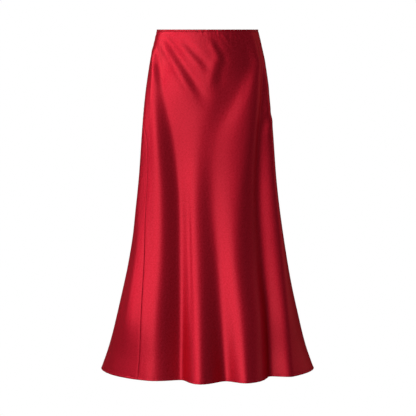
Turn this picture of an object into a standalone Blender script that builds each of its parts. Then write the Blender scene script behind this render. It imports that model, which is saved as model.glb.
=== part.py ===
"""Bias-cut slip skirt in satin, filled out as it is worn, with open waist and hem.

Metres, +Z up. The origin is the middle of the waist casing, and the front faces -Y.
A place on the skirt is an angle round it and a drop below the origin. The angle is in
degrees, 0 at the centre front and growing towards +X. A plain oval is worked out for
each drop, and hanging folds stand out from it or sink into it. Each fold's crest or
bottom is placed by how far it lies to the side of the middle.
"""

import math
from collections import namedtuple

import bmesh
import bpy
import numpy as np
from mathutils import Vector

COLLECTION = "slip_skirt"

# Cloth and casing.
HEM_DROP = 0.849
CLOTH_WALL = 0.0015
CASING_HEIGHT = 0.006
CASING_WALL = 0.002
CASING_PROUD = 0.0003
CASING_EDGE_ROUND = 0.0004
SEAM_GAP = 0.00045
SEAM_STRIP = 0.0015
CASING_GAP = 0.0003

# How finely the curved shapes are divided.
PANEL_COLUMNS = 60
PANEL_ROWS = 16
CASING_SIDES = 64

SATIN_COLOUR = (0.45, 0.008, 0.02, 1.0)
CASING_COLOUR = (0.36, 0.006, 0.016, 1.0)
SATIN_ROUGHNESS = 0.4

# The oval at each drop: half its width, its depth to the front and to the back, and how
# square it is (2 is an ellipse).
Section = namedtuple("Section", "drop half_width front back squareness")
SECTIONS = (
    Section(0.000, 0.1260, 0.088, 0.088, 2.1),
    Section(0.060, 0.1400, 0.098, 0.103, 2.4),
    Section(0.125, 0.1515, 0.103, 0.119, 2.9),
    Section(0.210, 0.1590, 0.104, 0.128, 3.4),
    Section(0.360, 0.1700, 0.108, 0.128, 3.5),
    Section(0.560, 0.1990, 0.134, 0.148, 3.2),
    Section(0.700, 0.2270, 0.176, 0.181, 2.7),
    Section(0.795, 0.2520, 0.210, 0.215, 2.2),
    Section(0.849, 0.2720, 0.232, 0.238, 2.0),
)

# Folds are given at these drops. They fade to nothing at the waist.
Levels = namedtuple("Levels", "name high_hip hip upper_thigh thigh knee calf hem")
LEVEL_DROPS = (0.08, 0.16, 0.26, 0.40, 0.56, 0.70, 0.849)

# Front folds, ridges and hollows in turn from the left edge to the right: how far each
# lies to the side of the middle, in millimetres.
FRONT_ASIDE = (
    Levels("left_outer_ridge", -139, -146, -153, -162, -166, -199, -239),
    Levels("left_ridge", -138, -138, -129, -118, -120, -134, -150),
    Levels("left_hollow", -118, -106, -89, -74, -69, -66, -62),
    Levels("centre_ridge", 5, 4, -14, -27, -24, -20, -19),
    Levels("centre_hollow", 100, 67, 20, 11, 25, 35, 46),
    Levels("right_ridge", 128, 114, 97, 76, 71, 87, 94),
    Levels("right_hollow", 134, 134, 128, 126, 136, 150, 157),
    Levels("right_outer_ridge", 139, 150, 160, 168, 184, 194, 203),
)
# How far each stands out from the oval, in millimetres.
FRONT_OUT = (
    Levels("left_outer_ridge", -2, 5, 10, 9, 8, 12, -6),
    Levels("left_ridge", 2, 8, 13, 12, 11, 9, -11),
    Levels("left_hollow", -7, -9, -10, -12, -15, -28, -54),
    Levels("centre_ridge", 1, 0, 0, 3, 6, 4, 0),
    Levels("centre_hollow", -8, -6, -1, -2, -6, -19, -42),
    Levels("right_ridge", 4, 4, 4, 5, 6, 3, 0),
    Levels("right_hollow", -4, -9, -16, -24, -32, -44, -60),
    Levels("right_outer_ridge", 0, 3, 6, 7, 4, -3, -13),
)
# How a hollow's bottom is rounded on its way up: below 1 is narrow, and above 1 is wide.
VALLEY = 0.8
FRONT_VALLEYS = (1.2, 0.8, 0.7, 0.8, 0.95, 0.8, 0.65, 1.2)
SIDE_VALLEY = 1.0
# How far each hollow's very bottom is rounded off, as a share of its height.
VALLEY_ROUND = 0.025
# The side edges, square to the side, draw in behind the outer ridges.
SIDE_OUT = Levels("side", 0, -3, -8, -7, -3, -1, -3)
SIDE_ANGLE = 90

# Back folds, from the right edge to the left, in millimetres as above.
BackFold = namedtuple("BackFold", "name hip_x knee_x hem_x hip_out knee_out hem_out")
BACK_DROPS = (0.16, 0.56, 0.849)
BACK_FOLDS = (
    BackFold("right_hollow_1", 128, 150, 174, -1, -12, -40),
    BackFold("right_ridge_1", 114, 136, 174, 2, 5, 2),
    BackFold("right_hollow_2", 90, 100, 114, -1, -10, -38),
    BackFold("right_ridge_2", 64, 72, 100, 2, 5, 4),
    BackFold("right_hollow_3", 34, 42, 50, -2, -14, -50),
    BackFold("centre_ridge", 6, 12, 22, 2, 6, 6),
    BackFold("left_hollow_1", -24, -26, -28, -2, -9, -36),
    BackFold("left_ridge_1", -53, -58, -76, 2, 4, 0),
    BackFold("left_hollow_2", -86, -92, -98, -2, -15, -54),
    BackFold("left_ridge_2", -114, -136, -174, 2, 4, 3),
    BackFold("left_hollow_3", -128, -150, -177, -1, -10, -34),
)
# Folds round the sides, placed by their angle.
SideFold = namedtuple("SideFold", "name angle hip_out knee_out hem_out")
SIDE_FOLDS = (
    SideFold("right_side_hollow", 101, 0, -4, -27),
    SideFold("right_side_ridge", 113, 0, 2, -2),
    SideFold("left_side_ridge", 246, 0, 2, -4),
    SideFold("left_side_hollow", 258, 0, -3, -23),
)

# The side seams wind round the skirt on their way down, as they do on a bias cut.
Seam = namedtuple("Seam", "drop left right")
SEAMS = (
    Seam(0.000, -90.0, 90),
    Seam(0.120, -86.0, 92),
    Seam(0.200, -74.0, 97),
    Seam(0.245, -63.0, 102),
    Seam(0.350, -58.0, 112),
    Seam(0.450, -56.5, 119),
    Seam(0.550, -52.5, 125),
    Seam(0.700, -46.0, 127),
    Seam(0.849, -45.5, 126),
)

MILLIMETRE = 0.001
ANGLE_HALVINGS = 24


def smooth_value(stations, values, at):
    """The value at one station, on a smooth curve through a table's values."""
    stations = np.asarray(stations, float)
    values = np.asarray(values, float)
    steps = np.diff(stations)
    rises = np.diff(values) / steps
    slopes = np.empty(len(stations))
    slopes[0] = rises[0]
    slopes[-1] = rises[-1]
    slopes[1:-1] = (rises[:-1] * steps[1:] + rises[1:] * steps[:-1]) / (steps[:-1] + steps[1:])
    place = int(np.clip(np.searchsorted(stations, at, side="right") - 1, 0, len(steps) - 1))
    step = steps[place]
    t = min(max((at - stations[place]) / step, 0.0), 1.0)
    start = (2 * t**3 - 3 * t**2 + 1) * values[place]
    start += (t**3 - 2 * t**2 + t) * step * slopes[place]
    end = (3 * t**2 - 2 * t**3) * values[place + 1]
    end += (t**3 - t**2) * step * slopes[place + 1]
    return float(start + end)


def column(table, name):
    """One named column of a table, as a list."""
    return [getattr(row, name) for row in table]


def oval_at(drop):
    """The oval's half width, front depth, back depth and squareness at a drop."""
    drops = column(SECTIONS, "drop")
    return [smooth_value(drops, column(SECTIONS, name), drop) for name in Section._fields[1:]]


def oval_radius(angle, oval):
    """The oval's distance from the axis at an angle."""
    half_width, front, back, squareness = oval
    across = math.sin(math.radians(angle))
    along = math.cos(math.radians(angle))
    depth = front if along >= 0 else back
    total = abs(across / half_width) ** squareness + abs(along / depth) ** squareness
    return total ** (-1.0 / squareness)


def angle_for(aside, out, oval):
    """The angle, up to 90 degrees, at which a fold on the oval lies this far to the side."""
    low, high = 0.0, float(SIDE_ANGLE)
    for _ in range(ANGLE_HALVINGS):
        middle = (low + high) / 2
        reach = (oval_radius(middle, oval) + out) * math.sin(math.radians(middle))
        if reach < aside:
            low = middle
        else:
            high = middle
    return (low + high) / 2


def front_folds_at(drop, narrowing):
    """The front folds' places to the side and stand-outs in metres, and their valleys."""
    folds = []
    for aside_row, out_row, valley in zip(FRONT_ASIDE, FRONT_OUT, FRONT_VALLEYS):
        aside = smooth_value(LEVEL_DROPS, aside_row[1:], max(drop, LEVEL_DROPS[0]))
        out = smooth_value((0, *LEVEL_DROPS), (0, *out_row[1:]), drop)
        folds.append((aside * MILLIMETRE * narrowing, out * MILLIMETRE, valley))
    return folds


def back_folds_at(drop, narrowing):
    """The back folds' places to the side and stand-outs at a drop, in metres."""
    folds = []
    for fold in BACK_FOLDS:
        asides = (fold.hip_x, fold.knee_x, fold.hem_x)
        outs = (0, fold.hip_out, fold.knee_out, fold.hem_out)
        aside = smooth_value(BACK_DROPS, asides, max(drop, BACK_DROPS[0]))
        out = smooth_value((0, *BACK_DROPS), outs, drop)
        folds.append((aside * MILLIMETRE * narrowing, out * MILLIMETRE))
    return folds


def folds_at(drop, oval):
    """Each fold's angle, stand-out and valley, with one turn more on either side."""
    half_width = oval[0]
    side_out = smooth_value((0, *LEVEL_DROPS), (0, *SIDE_OUT[1:]), drop) * MILLIMETRE
    turn = [(-SIDE_ANGLE, side_out, SIDE_VALLEY), (SIDE_ANGLE, side_out, SIDE_VALLEY)]
    front_narrowing = min(half_width / oval_at(LEVEL_DROPS[0])[0], 1.0)
    for aside, out, valley in front_folds_at(drop, front_narrowing):
        angle = angle_for(abs(aside), out, oval)
        turn.append((math.copysign(angle, aside), out, valley))
    back_narrowing = min(half_width / oval_at(BACK_DROPS[0])[0], 1.0)
    back_oval = (half_width, oval[2], oval[2], oval[3])
    for aside, out in back_folds_at(drop, back_narrowing):
        angle = 180 - math.copysign(angle_for(abs(aside), out, back_oval), aside)
        turn.append((angle, out, VALLEY))
    for fold in SIDE_FOLDS:
        outs = (0, fold.hip_out, fold.knee_out, fold.hem_out)
        out = smooth_value((0, *BACK_DROPS), outs, drop) * MILLIMETRE
        turn.append((fold.angle, out, VALLEY))
    turn.sort()
    return [(fold[0] + round_by, *fold[1:]) for round_by in (-360, 0, 360) for fold in turn]


def fold_out(angle, folds):
    """How far the folds stand out at an angle: a soft wave from hollow to ridge."""
    for (angle_1, out_1, valley_1), (angle_2, out_2, valley_2) in zip(folds, folds[1:]):
        if angle_1 <= angle <= angle_2:
            share = (angle - angle_1) / (angle_2 - angle_1)
            valley = valley_1
            if out_2 < out_1:
                share = 1 - share
                valley = valley_2
            lift = ((1 - math.cos(math.pi * share)) / 2 + VALLEY_ROUND) ** valley
            lowest = VALLEY_ROUND**valley
            wave = (lift - lowest) / ((1 + VALLEY_ROUND) ** valley - lowest)
            return min(out_1, out_2) + abs(out_2 - out_1) * wave
    raise ValueError(f"no fold reaches {angle} degrees")


def place_on(angle, radius, drop):
    """The point at an angle, a distance from the axis and a drop."""
    turn = math.radians(angle)
    return Vector((radius * math.sin(turn), -radius * math.cos(turn), -drop))


def satin(name, colour):
    """The plain satin finish of one piece."""
    material = bpy.data.materials.new(name)
    material.use_nodes = True
    shader = material.node_tree.nodes["Principled BSDF"]
    shader.inputs["Base Color"].default_value = colour
    shader.inputs["Roughness"].default_value = SATIN_ROUGHNESS
    shader.inputs["Metallic"].default_value = 0.0
    return material


def add_wall(name, shape, wall, material, collection):
    """Makes the object of an open outer surface, and gives it its wall inwards."""
    mesh = bpy.data.meshes.new(name)
    shape.to_mesh(mesh)
    shape.free()
    mesh.materials.append(material)
    mesh.shade_smooth()
    mesh.set_sharp_from_angle(angle=math.radians(50))
    piece = bpy.data.objects.new(name, mesh)
    collection.objects.link(piece)
    solid = piece.modifiers.new("cloth wall", "SOLIDIFY")
    solid.thickness = wall
    solid.offset = -1.0
    solid.use_even_offset = True
    return piece


def share_across(vertex, strip):
    """How far across its panel a grid vertex goes: even columns, and a strip at each seam."""
    step = round((vertex.co.x + 0.5) * PANEL_COLUMNS)
    if step in (0, PANEL_COLUMNS):
        return step / PANEL_COLUMNS
    return min(max((step - 1) / (PANEL_COLUMNS - 2), strip), 1 - strip)


def build_panel(name, first_seam, last_seam, collection):
    """One panel, from one side seam to the other, from under the casing to the hem."""
    shape = bmesh.new()
    bmesh.ops.create_grid(shape, x_segments=PANEL_COLUMNS, y_segments=PANEL_ROWS, size=0.5)
    top_drop = CASING_HEIGHT / 2 + CASING_GAP
    seam_drops = column(SEAMS, "drop")
    shape_at = {}
    for vertex in shape.verts:
        drop = top_drop + (HEM_DROP - top_drop) * (0.5 - vertex.co.y)
        level = round(drop, 6)
        if level not in shape_at:
            ends = [smooth_value(seam_drops, angles, drop) for angles in (first_seam, last_seam)]
            oval = oval_at(drop)
            shape_at[level] = (oval, folds_at(drop, oval), ends)
        oval, folds, (first, last) = shape_at[level]
        half_gap = math.degrees(SEAM_GAP / 2 / oval_radius(first, oval))
        width = last - first - 2 * half_gap
        strip = math.degrees(SEAM_STRIP / oval_radius(first, oval)) / width
        angle = first + half_gap + width * share_across(vertex, strip)
        radius = oval_radius(angle, oval) + fold_out(angle, folds)
        vertex.co = place_on(angle, radius, drop)
    return add_wall(name, shape, CLOTH_WALL, satin(name, SATIN_COLOUR), collection)


def build_casing(collection):
    """The narrow turned casing that holds the elastic, all round the waist."""
    name = "waist_casing"
    shape = bmesh.new()
    bmesh.ops.create_cone(
        shape, cap_ends=False, segments=CASING_SIDES, radius1=1, radius2=1, depth=CASING_HEIGHT
    )
    oval = oval_at(0.0)
    for vertex in shape.verts:
        angle = math.degrees(math.atan2(vertex.co.x, -vertex.co.y))
        vertex.co = place_on(angle, oval_radius(angle, oval) + CASING_PROUD, -vertex.co.z)
    casing = add_wall(name, shape, CASING_WALL, satin(name, CASING_COLOUR), collection)
    rounding = casing.modifiers.new("turned edges", "BEVEL")
    rounding.width = CASING_EDGE_ROUND
    rounding.segments = 1
    rounding.limit_method = "ANGLE"
    rounding.angle_limit = math.radians(60)
    return casing


def main():
    """Clears the scene and builds the skirt's three pieces."""
    for old in list(bpy.data.objects):
        bpy.data.objects.remove(old, do_unlink=True)
    collection = bpy.data.collections.new(COLLECTION)
    bpy.context.scene.collection.children.link(collection)
    left_seam = column(SEAMS, "left")
    right_seam = column(SEAMS, "right")
    left_seam_from_behind = [angle + 360 for angle in left_seam]
    build_panel("front_panel", left_seam, right_seam, collection)
    build_panel("back_panel", right_seam, left_seam_from_behind, collection)
    build_casing(collection)


main()
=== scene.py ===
"""Bias-cut slip skirt in red satin, filled out as it is worn, with open waist and hem.

Metres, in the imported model's frame: +Z up, the front faces -Y, and the origin is the
middle of the waist casing. A place on the skirt is an angle round it, in degrees from
the centre front towards +X, and a drop below the origin.
"""

import logging
import math
from dataclasses import dataclass, field
from enum import Enum

import bpy
import numpy as np
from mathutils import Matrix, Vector


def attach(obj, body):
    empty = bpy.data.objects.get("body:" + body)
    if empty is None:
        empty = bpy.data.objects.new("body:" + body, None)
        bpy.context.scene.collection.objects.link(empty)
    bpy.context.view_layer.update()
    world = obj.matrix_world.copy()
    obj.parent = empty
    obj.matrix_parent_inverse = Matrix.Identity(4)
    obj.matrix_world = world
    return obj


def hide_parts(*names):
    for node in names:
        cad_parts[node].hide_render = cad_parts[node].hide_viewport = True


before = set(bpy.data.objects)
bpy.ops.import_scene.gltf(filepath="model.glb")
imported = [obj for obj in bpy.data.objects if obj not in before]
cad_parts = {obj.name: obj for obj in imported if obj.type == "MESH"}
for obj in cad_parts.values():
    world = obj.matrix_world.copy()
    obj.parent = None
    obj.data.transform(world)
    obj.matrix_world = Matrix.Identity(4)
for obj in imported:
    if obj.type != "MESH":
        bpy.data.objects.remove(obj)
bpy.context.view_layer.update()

log = logging.getLogger("slip_skirt")

MILLIMETRE = 0.001
BODY = "root"
HEM_DROP = 0.849
CHART = "Cloth"


# ---------------------------------------------------------------------------
# Form: the plain oval, the hanging folds and the listed creases
# ---------------------------------------------------------------------------


class Side(Enum):
    """The half of the skirt that a crease lies on."""

    FRONT = 1
    BACK = -1


class CreaseKind(Enum):
    """How a crease is shaped across its line."""

    TROUGH = "a soft valley"
    RIDGE = "a soft crest"
    STEP = "a crest on the left that falls to a valley on the right"


@dataclass(frozen=True)
class Section:
    """The plain oval at one drop.

    squareness is 2 for an ellipse and grows as the oval gets boxier.
    """

    drop: float
    half_width: float
    front: float
    back: float
    squareness: float


@dataclass(frozen=True)
class HangingFold:
    """A fold's crest or bottom, placed to the side of the middle at each level.

    aside and out are in millimetres: how far it lies to the side, and how far it stands
    out from the oval, at each of the drops of its table. valley is how a hollow's bottom
    is rounded: below 1 it is narrow, and above 1 it is wide.
    """

    name: str
    aside: tuple[float, ...]
    out: tuple[float, ...]
    valley: float = 0.8


@dataclass(frozen=True)
class SideFold:
    """A fold at the side, placed by its angle, with its stand-out in millimetres."""

    name: str
    angle: float
    out: tuple[float, ...]
    valley: float = 0.8


@dataclass(frozen=True)
class Crease:
    """One soft crease in the cloth, from start to end, each (aside, drop) in millimetres.

    widths are its half-widths at the start and the end, and bow curves it towards the right
    of the way it runs. fades are the shares of its length over which it comes and goes.
    """

    name: str
    kind: CreaseKind
    start: tuple[float, float]
    end: tuple[float, float]
    depth: float
    widths: tuple[float, float]
    bow: float = 0.0
    fades: tuple[float, float] = (0.35, 0.35)

    def height(self, aside: np.ndarray, drop: np.ndarray) -> np.ndarray:
        """How far the crease stands out.

        Args:
            aside: distances to the side of the middle, in metres.
            drop: drops below the origin, in metres.

        Returns:
            Heights in metres, negative where the cloth sinks in.
        """
        run_x = (self.end[0] - self.start[0]) * MILLIMETRE
        run_d = (self.end[1] - self.start[1]) * MILLIMETRE
        length = math.hypot(run_x, run_d)
        from_x = aside - self.start[0] * MILLIMETRE
        from_d = drop - self.start[1] * MILLIMETRE
        share = (from_x * run_x + from_d * run_d) / length**2
        across = (from_x * run_d - from_d * run_x) / length
        held = np.clip(share, 0.0, 1.0)
        across = across - self.bow * MILLIMETRE * 4 * held * (1 - held)
        width = (self.widths[0] + (self.widths[1] - self.widths[0]) * held) * MILLIMETRE
        place = across / width
        fade = soft_step(share / self.fades[0]) * soft_step((1 - share) / self.fades[1])
        if self.kind is CreaseKind.STEP:
            shape = -place * np.exp(0.5 - 0.5 * place**2)
        elif self.kind is CreaseKind.RIDGE:
            shape = np.exp(-(place**2))
        else:
            shape = -np.exp(-(place**2))
        return self.depth * MILLIMETRE * shape * fade


def soft_step(value: np.ndarray) -> np.ndarray:
    """Rises smoothly from 0 to 1 as value goes from 0 to 1."""
    held = np.clip(value, 0.0, 1.0)
    return held * held * (3 - 2 * held)


def smooth_values(stations: tuple[float, ...], values: np.ndarray, at: np.ndarray) -> np.ndarray:
    """Reads a table on a smooth curve through its rows.

    Args:
        stations: where the rows are, rising.
        values: one row for each station, of one or more columns.
        at: the places to read.

    Returns:
        One row for each place.
    """
    x = np.asarray(stations, float)
    y = np.asarray(values, float).reshape(len(x), -1)
    steps = np.diff(x)[:, None]
    rises = np.diff(y, axis=0) / steps
    slopes = np.empty_like(y)
    slopes[0] = rises[0]
    slopes[-1] = rises[-1]
    slopes[1:-1] = (rises[:-1] * steps[1:] + rises[1:] * steps[:-1]) / (steps[:-1] + steps[1:])
    places = np.atleast_1d(np.asarray(at, float))
    row = np.clip(np.searchsorted(x, places, side="right") - 1, 0, len(x) - 2)
    step = steps[row]
    t = np.clip((places - x[row])[:, None] / step, 0.0, 1.0)
    start = (2 * t**3 - 3 * t**2 + 1) * y[row] + (t**3 - 2 * t**2 + t) * step * slopes[row]
    end = (3 * t**2 - 2 * t**3) * y[row + 1] + (t**3 - t**2) * step * slopes[row + 1]
    return start + end


def round_points(radius: np.ndarray, turn: np.ndarray, level: np.ndarray) -> np.ndarray:
    """Points at distances from the axis and levels, in metres, and at angles in radians."""
    return np.stack([radius * np.sin(turn), -radius * np.cos(turn), level], axis=-1)


SECTIONS = (
    Section(0.000, 0.1260, 0.088, 0.088, 2.1),
    Section(0.060, 0.1400, 0.098, 0.103, 2.4),
    Section(0.125, 0.1515, 0.103, 0.119, 2.9),
    Section(0.210, 0.1590, 0.104, 0.128, 3.4),
    Section(0.360, 0.1700, 0.108, 0.128, 3.5),
    Section(0.560, 0.1990, 0.134, 0.148, 3.2),
    Section(0.700, 0.2270, 0.176, 0.181, 2.7),
    Section(0.795, 0.2520, 0.210, 0.215, 2.2),
    Section(0.849, 0.2720, 0.232, 0.238, 2.0),
)

# Levels of the front folds: high hip, hip, upper thigh, thigh, knee, calf and hem.
FRONT_DROPS = (0.08, 0.16, 0.26, 0.40, 0.56, 0.70, 0.849)
FRONT_FOLDS = (
    HangingFold(
        "left_outer_ridge",
        aside=(-139, -146, -153, -162, -166, -199, -239),
        out=(-2, 5, 10, 9, 8, 12, -6),
        valley=1.2,
    ),
    HangingFold(
        "left_ridge", aside=(-138, -138, -129, -118, -120, -134, -150), out=(2, 8, 13, 12, 11, 9, -11)
    ),
    HangingFold(
        "left_hollow",
        aside=(-118, -106, -89, -74, -69, -66, -62),
        out=(-7, -9, -10, -12, -15, -28, -54),
        valley=0.7,
    ),
    HangingFold(
        "centre_ridge", aside=(5, 4, -14, -27, -24, -20, -19), out=(1, 0, 0, 3, 6, 4, 0)
    ),
    HangingFold(
        "centre_hollow",
        aside=(100, 67, 20, 11, 25, 35, 46),
        out=(-8, -6, -1, -2, -6, -19, -42),
        valley=0.95,
    ),
    HangingFold("right_ridge", aside=(128, 114, 97, 76, 71, 87, 94), out=(4, 4, 4, 5, 6, 3, 0)),
    HangingFold(
        "right_hollow",
        aside=(134, 134, 128, 126, 136, 150, 157),
        out=(-4, -9, -16, -24, -32, -44, -60),
        valley=0.65,
    ),
    HangingFold(
        "right_outer_ridge",
        aside=(139, 150, 160, 168, 184, 194, 203),
        out=(0, 3, 6, 7, 4, -3, -13),
        valley=1.2,
    ),
)
# How far each hollow's very bottom is rounded off, as a share of its height.
VALLEY_ROUND = 0.025
# The side edges, square to the side, draw in behind the outer ridges.
SIDE_ANGLE = 90.0
SIDE_OUT = (0, -3, -8, -7, -3, -1, -3)

# Levels of the back and side folds: hip, knee and hem.
BACK_DROPS = (0.16, 0.56, 0.849)
BACK_FOLDS = (
    HangingFold("right_back_hollow_1", aside=(128, 150, 174), out=(-1, -12, -40)),
    HangingFold("right_back_ridge_1", aside=(114, 136, 174), out=(2, 5, 2)),
    HangingFold("right_back_hollow_2", aside=(90, 100, 114), out=(-1, -10, -38)),
    HangingFold("right_back_ridge_2", aside=(64, 72, 100), out=(2, 5, 4)),
    HangingFold("right_back_hollow_3", aside=(34, 42, 50), out=(-2, -14, -50)),
    HangingFold("centre_back_ridge", aside=(6, 12, 22), out=(2, 6, 6)),
    HangingFold("left_back_hollow_1", aside=(-24, -26, -28), out=(-2, -9, -36)),
    HangingFold("left_back_ridge_1", aside=(-53, -58, -76), out=(2, 4, 0)),
    HangingFold("left_back_hollow_2", aside=(-86, -92, -98), out=(-2, -15, -54)),
    HangingFold("left_back_ridge_2", aside=(-114, -136, -174), out=(2, 4, 3)),
    HangingFold("left_back_hollow_3", aside=(-128, -150, -177), out=(-1, -10, -34)),
)
SIDE_FOLDS = (
    SideFold("right_side_hollow", 101, (0, -4, -27)),
    SideFold("right_side_ridge", 113, (0, 2, -2)),
    SideFold("left_side_ridge", 246, (0, 2, -4)),
    SideFold("left_side_hollow", 258, (0, -3, -23)),
)

TROUGH, RIDGE, STEP = CreaseKind
CREASES = {
    Side.FRONT: (
        Crease("left_hip_fold", STEP, (-132, 28), (-117, 160), 2.3, (4, 8), -1, (0.2, 0.5)),
        Crease("left_drag_1", STEP, (-121, 2), (-2, 194), 3.4, (7, 14), 1, (0.22, 0.4)),
        Crease("left_drag_2", STEP, (-78, 14), (10, 106), 1.4, (7, 9)),
        Crease("left_drag_3", STEP, (4, 12), (46, 90), 1.2, (7, 8), 2),
        Crease("middle_point", STEP, (40, 46), (16, 150), 1.5, (10, 13), -3),
        Crease("right_drag", TROUGH, (127, 34), (84, 190), 0.9, (5, 8), -3, (0.4, 0.5)),
        Crease("waist_pucker_1", RIDGE, (32, 4), (68, 46), 1.0, (3, 5)),
        Crease("waist_pucker_2", TROUGH, (68, 2), (84, 30), 0.6, (2.5, 3)),
        Crease("waist_pucker_3", TROUGH, (80, 2), (98, 34), 0.7, (2.5, 3.5)),
        Crease("waist_pucker_4", TROUGH, (92, 2), (108, 26), 0.5, (2.5, 3)),
        Crease("hip_pinch_1", TROUGH, (160, 188), (134, 248), 3.0, (6, 8)),
        Crease("hip_pinch_2", RIDGE, (161, 206), (142, 266), 2.0, (5, 7)),
        Crease("hip_pinch_3", TROUGH, (149, 136), (156, 206), 1.4, (4, 5)),
        Crease("left_flank_fold", STEP, (-164, 430), (-222, 800), -3.6, (11, 14), 2, (0.35, 0.3)),
        Crease("centre_line", TROUGH, (-48, 350), (-38, 760), 1.3, (3.5, 5), fades=(0.4, 0.3)),
    ),
    Side.BACK: (
        Crease("seat_drag_right_1", STEP, (112, 12), (26, 176), 2.6, (5, 12), -6, (0.25, 0.4)),
        Crease("seat_drag_right_2", STEP, (78, 18), (14, 92), 1.4, (5, 7), -3),
        Crease("seat_drag_left_1", STEP, (-116, 20), (-44, 200), -2.4, (5, 11), 5, (0.25, 0.4)),
        Crease("seat_drag_left_2", STEP, (-70, 16), (-18, 86), -1.2, (4, 7), 3),
        Crease("seat_hollow", TROUGH, (6, 60), (10, 250), 1.6, (8, 14)),
        Crease("seat_pinch", TROUGH, (-142, 150), (-112, 222), 1.6, (3, 6)),
        Crease("back_line", TROUGH, (58, 330), (66, 720), 1.2, (4, 6), fades=(0.4, 0.3)),
        Crease("back_waist_pucker_1", TROUGH, (-52, 2), (-40, 34), 0.6, (2.5, 3.5)),
        Crease("back_waist_pucker_2", TROUGH, (20, 2), (8, 38), 0.6, (2.5, 3.5)),
    ),
}


@dataclass(frozen=True)
class SeamLine:
    """The angles of the side seams at one drop."""

    drop: float
    left: float
    right: float


# The side seams wind round the skirt on their way down, as they do on a bias cut.
SEAM_LINES = (
    SeamLine(0.000, -90.0, 90),
    SeamLine(0.120, -86.0, 92),
    SeamLine(0.200, -74.0, 97),
    SeamLine(0.245, -63.0, 102),
    SeamLine(0.350, -58.0, 112),
    SeamLine(0.450, -56.5, 119),
    SeamLine(0.550, -52.5, 125),
    SeamLine(0.700, -46.0, 127),
    SeamLine(0.849, -45.5, 126),
)


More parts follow.
